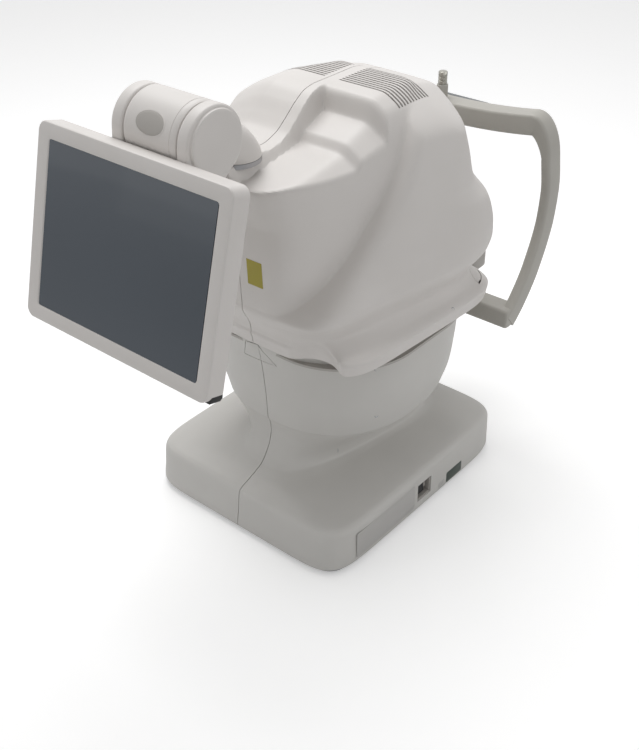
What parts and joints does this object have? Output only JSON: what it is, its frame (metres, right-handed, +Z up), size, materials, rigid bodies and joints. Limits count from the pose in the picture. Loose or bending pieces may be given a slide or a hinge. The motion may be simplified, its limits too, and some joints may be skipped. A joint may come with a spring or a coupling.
{
  "type": "table-top retinal imaging unit",
  "caption": "Table-top retinal imaging unit: motorised head on a pedestal, tilting touch monitor on a swivel arm, and a head rest with a chin rest.",
  "frame": {"origin": "middle of the whole unit's footprint, on the floor that its feet stand on", "axes": "+X is the operator's right, +Y points to the patient, +Z is up"},
  "size_m": [0.313, 0.596, 0.559],
  "materials": {
    "shell": "fine moulded texture, warm pale grey",
    "rest": "satin, grey beige",
    "seal_grey": "satin mid grey",
    "black": "matte black",
    "rubber": "matte",
    "pad": "soft, matte",
    "steel": "ground",
    "frame_alu": "machined",
    "chrome": "polished",
    "motor": "black enamel",
    "electronics": "green circuit board",
    "module": "black anodised",
    "screen": "dark glossy panel",
    "lens": "coated lens",
    "label": "blank plate"
  },
  "bodies": {
    "base": {"base_plate": "steel", "rubber_feet": "rubber", "base_cover_left": "shell", "base_cover_right": "shell", "floor_screws": "steel", "pedestal_cover_left": "shell", "pedestal_cover_right": "shell", "service_panel": "shell", "cup_deck": "seal_grey", "column_frame": "frame_alu", "power_supply": "motor", "control_boards": "electronics", "switch_housing": "seal_grey", "data_ports": "seal_grey", "power_inlet": "black", "rating_plate": "label", "y_rails": "steel", "y_motor": "motor", "headrest_frame": "rest", "forehead_pad": "pad", "post_sleeve": "rest", "post_pin": "chrome", "chinrest_housing": "rest"},
    "rocker": {"power_rocker": "black"},
    "chinrest": {"chinrest_rod": "steel", "chinrest_cup": "seal_grey"},
    "y_screw": {"y_leadscrew": "steel"},
    "y_stage": {"y_carriage": "frame_alu", "x_rails": "steel", "x_motor": "motor"},
    "x_screw": {"x_leadscrew": "steel"},
    "x_stage": {"x_carriage": "frame_alu", "z_guides": "steel", "z_motor": "motor"},
    "z_screw": {"z_leadscrew": "steel"},
    "head": {"head_pan": "frame_alu", "lift_bushes": "frame_alu", "optical_bench": "frame_alu", "optics_modules": "module", "objective_barrel": "black", "objective_lens": "lens", "front_cameras": "black", "head_board": "electronics", "fan_frame": "black", "head_front_cover": "shell", "head_cover_left": "shell", "head_cover_right": "shell", "swivel_base": "steel"},
    "fan": {"fan_rotor": "black"},
    "arm": {"monitor_arm": "shell", "barrel_cap": "seal_grey"},
    "monitor": {"monitor_bracket": "shell", "hinge_caps": "shell", "tilt_pin": "steel", "monitor_rear_cover": "shell", "monitor_bezel": "shell", "touch_panel": "screen", "display_module": "module", "corner_plug": "black"}
  },
  "joints": [
    {"name": "head_fore_aft", "type": "slide", "parent": "base", "child": "y_stage", "axis": [0, 1, 0], "range_m": [-0.02, 0.02]},
    {"name": "head_side_to_side", "type": "slide", "parent": "y_stage", "child": "x_stage", "axis": [1, 0, 0], "range_m": [-0.044, 0.044]},
    {"name": "head_lift", "type": "slide", "parent": "x_stage", "child": "head", "axis": [0, 0, 1], "range_m": [0, 0.03]},
    {"name": "y_screw_turn", "type": "hinge", "parent": "base", "child": "y_screw", "pos_m": [0, 0.03402, 0.162], "axis": [0, 1, 0], "range_deg": [-721, 721]},
    {"name": "x_screw_turn", "type": "hinge", "parent": "y_stage", "child": "x_screw", "pos_m": [0, 0.03402, 0.185], "axis": [1, 0, 0], "range_deg": [-1585, 1585]},
    {"name": "z_screw_turn", "type": "hinge", "parent": "x_stage", "child": "z_screw", "pos_m": [0, 0.03402, 0.258], "axis": [0, 0, 1], "range_deg": [-1, 2161]},
    {"name": "arm_swivel", "type": "hinge", "parent": "head", "child": "arm", "pos_m": [0, -0.11398, 0.48], "axis": [0, 0, 1], "range_deg": [-40, 40]},
    {"name": "monitor_tilt", "type": "hinge", "parent": "arm", "child": "monitor", "pos_m": [0, -0.18798, 0.523], "axis": [1, 0, 0], "range_deg": [-60, 12]},
    {"name": "chin_lift", "type": "slide", "parent": "base", "child": "chinrest", "axis": [0, 0, 1], "range_m": [0, 0.06]},
    {"name": "power_switch", "type": "hinge", "parent": "base", "child": "rocker", "pos_m": [0.142, 0.03202, 0.0305], "axis": [0, 1, 0], "range_deg": [-8, 8]},
    {"name": "fan_spin", "type": "hinge", "parent": "head", "child": "fan", "pos_m": [0, 0.03902, 0.462], "axis": [0, 0, 1], "continuous": true}
  ],
  "couplings": [
    {"joint": "y_screw_turn", "follows": "head_fore_aft", "rad_per_m": 628.32},
    {"joint": "x_screw_turn", "follows": "head_side_to_side", "rad_per_m": 628.32},
    {"joint": "z_screw_turn", "follows": "head_lift", "rad_per_m": 1256.6}
  ]
}
